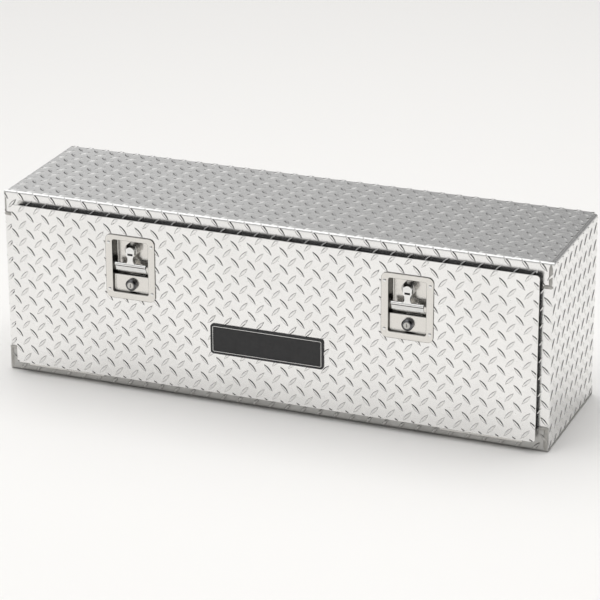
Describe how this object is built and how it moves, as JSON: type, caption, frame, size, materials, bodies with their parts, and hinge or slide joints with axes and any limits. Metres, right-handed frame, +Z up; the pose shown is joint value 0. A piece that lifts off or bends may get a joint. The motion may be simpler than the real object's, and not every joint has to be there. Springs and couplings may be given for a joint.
{
  "type": "truck tool box",
  "caption": "Underbody truck tool box in aluminium tread plate, with a drop-down front door on hinges and slotted stays, held shut by recessed folding T-handle latches with key locks.",
  "frame": {"origin": "under the middle of the whole part, on the surface it stands on", "axes": "+X along the box's width to its right end as seen from the door, +Y from the door to the back, +Z up"},
  "size_m": [1.219, 0.34, 0.412],
  "materials": {
    "tread_sheet": "bright diamond tread plate with raised lugs",
    "plain_sheet": "mill finish",
    "stainless": "bright brushed stainless",
    "chrome": "plated",
    "zinc": "zinc plated",
    "rubber": "matt black",
    "badge": "satin black, no lettering",
    "lock_core": "nickel plated"
  },
  "bodies": {
    "box": {"top_sheet": "tread_sheet", "bottom_sheet": "tread_sheet", "back_sheet": "tread_sheet", "end_panel_left": "tread_sheet", "end_panel_right": "tread_sheet", "door_seal": "rubber", "hinge_left_fixed_leaf": "stainless", "hinge_left_pin": "zinc", "stay_stud_left": "zinc", "hinge_right_fixed_leaf": "stainless", "hinge_right_pin": "zinc", "stay_stud_right": "zinc"},
    "door": {"door_skin": "tread_sheet", "door_liner": "plain_sheet", "badge_plate": "badge", "hinge_left_door_leaf": "stainless", "stay_pin_left": "zinc", "latch_pan_left": "stainless", "pan_gasket_left": "rubber", "lock_barrel_left": "chrome", "pan_rivet_left_1": "stainless", "pan_rivet_left_2": "stainless", "pan_rivet_left_3": "stainless", "pan_rivet_left_4": "stainless", "hinge_right_door_leaf": "stainless", "stay_pin_right": "zinc", "latch_pan_right": "stainless", "pan_gasket_right": "rubber", "lock_barrel_right": "chrome", "pan_rivet_right_1": "stainless", "pan_rivet_right_2": "stainless", "pan_rivet_right_3": "stainless", "pan_rivet_right_4": "stainless"},
    "latch_left": {"latch_hub_left": "stainless", "latch_cam_left": "zinc", "cam_nut_left": "zinc", "handle_pin_left": "zinc"},
    "handle_left": {"t_handle_left": "stainless"},
    "lock_left": {"lock_plug_left": "lock_core", "lock_tongue_left": "zinc"},
    "stay_left": {"stay_arm_left": "zinc"},
    "latch_right": {"latch_hub_right": "stainless", "latch_cam_right": "zinc", "cam_nut_right": "zinc", "handle_pin_right": "zinc"},
    "handle_right": {"t_handle_right": "stainless"},
    "lock_right": {"lock_plug_right": "lock_core", "lock_tongue_right": "zinc"},
    "stay_right": {"stay_arm_right": "zinc"}
  },
  "joints": [
    {"name": "door_hinge", "type": "hinge", "parent": "box", "child": "door", "pos_m": [0, -0.158, 0.0215], "axis": [1, 0, 0], "range_deg": [0, 90]},
    {"name": "handle_fold_left", "type": "hinge", "parent": "latch_left", "child": "handle_left", "pos_m": [-0.30875, -0.1595, 0.3195], "axis": [-1, 0, 0], "range_deg": [0, 90]},
    {"name": "latch_turn_left", "type": "hinge", "parent": "door", "child": "latch_left", "pos_m": [-0.30875, -0.15, 0.3195], "axis": [0, 1, 0], "range_deg": [0, 90]},
    {"name": "lock_turn_left", "type": "hinge", "parent": "door", "child": "lock_left", "pos_m": [-0.30875, -0.16, 0.242], "axis": [0, -1, 0], "range_deg": [0, 90]},
    {"name": "stay_swing_left", "type": "hinge", "parent": "door", "child": "stay_left", "pos_m": [-0.5595, -0.14806, 0.17117], "axis": [1, 0, 0], "range_deg": [-45, 0]},
    {"name": "handle_fold_right", "type": "hinge", "parent": "latch_right", "child": "handle_right", "pos_m": [0.30875, -0.1595, 0.3195], "axis": [-1, 0, 0], "range_deg": [0, 90]},
    {"name": "latch_turn_right", "type": "hinge", "parent": "door", "child": "latch_right", "pos_m": [0.30875, -0.15, 0.3195], "axis": [0, 1, 0], "range_deg": [0, 90]},
    {"name": "lock_turn_right", "type": "hinge", "parent": "door", "child": "lock_right", "pos_m": [0.30875, -0.16, 0.242], "axis": [0, -1, 0], "range_deg": [0, 90]},
    {"name": "stay_swing_right", "type": "hinge", "parent": "door", "child": "stay_right", "pos_m": [0.5595, -0.14806, 0.17117], "axis": [1, 0, 0], "range_deg": [-45, 0]}
  ],
  "couplings": [
    {"joint": "handle_fold_left", "follows": "latch_turn_left", "ratio": 1},
    {"joint": "stay_swing_left", "follows": "door_hinge", "ratio": -0.5},
    {"joint": "handle_fold_right", "follows": "latch_turn_right", "ratio": 1},
    {"joint": "stay_swing_right", "follows": "door_hinge", "ratio": -0.5}
  ]
}
